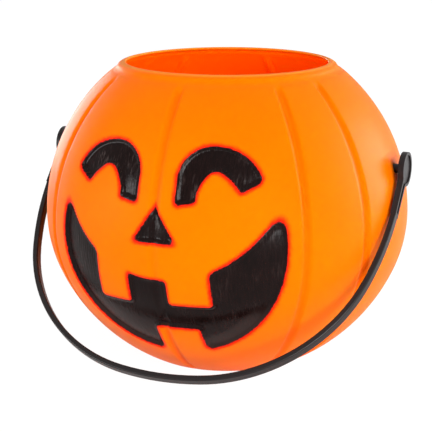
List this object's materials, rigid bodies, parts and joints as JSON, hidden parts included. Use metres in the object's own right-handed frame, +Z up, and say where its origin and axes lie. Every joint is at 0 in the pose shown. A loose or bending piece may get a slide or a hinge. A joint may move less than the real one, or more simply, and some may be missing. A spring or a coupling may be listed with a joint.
{
  "type": "candy pail",
  "caption": "Round pumpkin-shaped plastic candy pail with grooved sides, a sunken black jack-o'-lantern face, an open rolled rim and a swinging strap handle.",
  "frame": {"origin": "centre of the base, at the level the pail stands on", "axes": "+Z up out of the mouth, the face looks along -Y, the handle's pegs lie along X"},
  "size_m": [0.184, 0.18, 0.147],
  "materials": {
    "orange_plastic": "satin",
    "black_plastic": "satin",
    "black_paint": "gloss"
  },
  "bodies": {
    "pail": {"pail_shell": "orange_plastic", "left_eye_paint": "black_paint", "right_eye_paint": "black_paint", "nose_paint": "black_paint", "mouth_paint": "black_paint"},
    "handle": {"handle": "black_plastic"}
  },
  "joints": [
    {"name": "handle_swing", "type": "hinge", "parent": "pail", "child": "handle", "pos_m": [0, 0, 0.0995], "axis": [-1, 0, 0], "range_deg": [-6, 278]}
  ]
}
